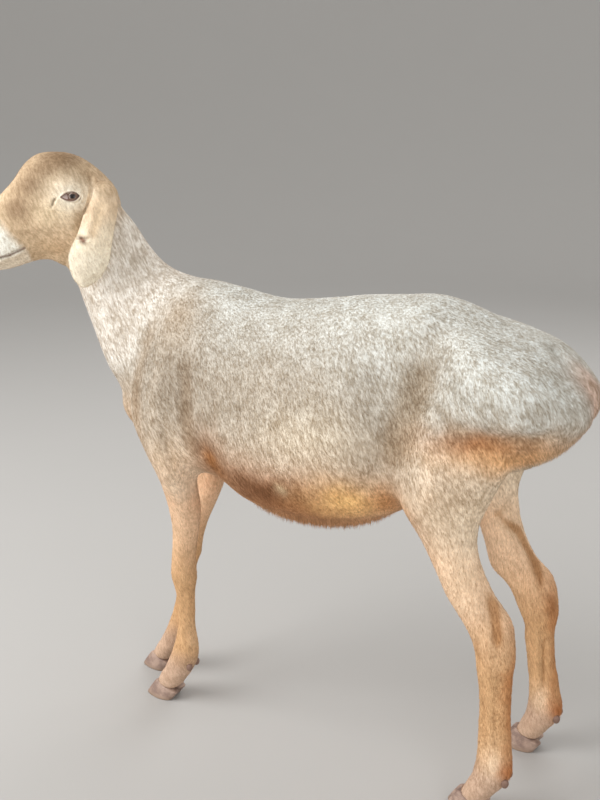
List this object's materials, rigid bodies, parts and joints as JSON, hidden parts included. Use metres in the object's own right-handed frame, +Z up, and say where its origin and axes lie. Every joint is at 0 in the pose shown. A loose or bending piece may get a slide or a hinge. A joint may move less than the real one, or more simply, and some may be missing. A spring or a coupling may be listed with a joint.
{
  "type": "shorn sheep",
  "caption": "Life-size standing sheep in short shorn coat, fat rump, long lop ears and Roman nose, head turned a little to its left, on small cloven hooves",
  "frame": {"origin": "on the floor under the middle of the animal's box", "axes": "X runs from the head to the rump, Y to the animal's right side, Z up; the animal faces -X"},
  "size_m": [1.0323, 0.3433, 1.0081],
  "materials": {
    "body_hair": "short streaky grey-beige hair over a pinkish skin",
    "face_hair": "very short golden tan hair, off-white round the mouth",
    "leg_hair": "short tan to orange-brown hair",
    "ear_hair": "smooth short cream-tan hair",
    "eye": "dark brown, wet and glossy",
    "horn": "grey-brown worn horn"
  },
  "bodies": {
    "root": {"head": "face_hair", "neck": "body_hair", "trunk": "body_hair", "fat_tail": "body_hair", "foreleg_left": "leg_hair", "foreleg_right": "leg_hair", "hindleg_left": "leg_hair", "hindleg_right": "leg_hair", "ear_left": "ear_hair", "ear_right": "ear_hair", "eye_left": "eye", "eye_right": "eye", "hoof_fore_left_inner": "horn", "hoof_fore_left_outer": "horn", "hoof_fore_right_inner": "horn", "hoof_fore_right_outer": "horn", "hoof_hind_left_inner": "horn", "hoof_hind_left_outer": "horn", "hoof_hind_right_inner": "horn", "hoof_hind_right_outer": "horn", "dewclaw_fore_left_inner": "horn", "dewclaw_fore_left_outer": "horn", "dewclaw_fore_right_inner": "horn", "dewclaw_fore_right_outer": "horn", "dewclaw_hind_left_inner": "horn", "dewclaw_hind_left_outer": "horn", "dewclaw_hind_right_inner": "horn", "dewclaw_hind_right_outer": "horn"}
  },
  "joints": []
}
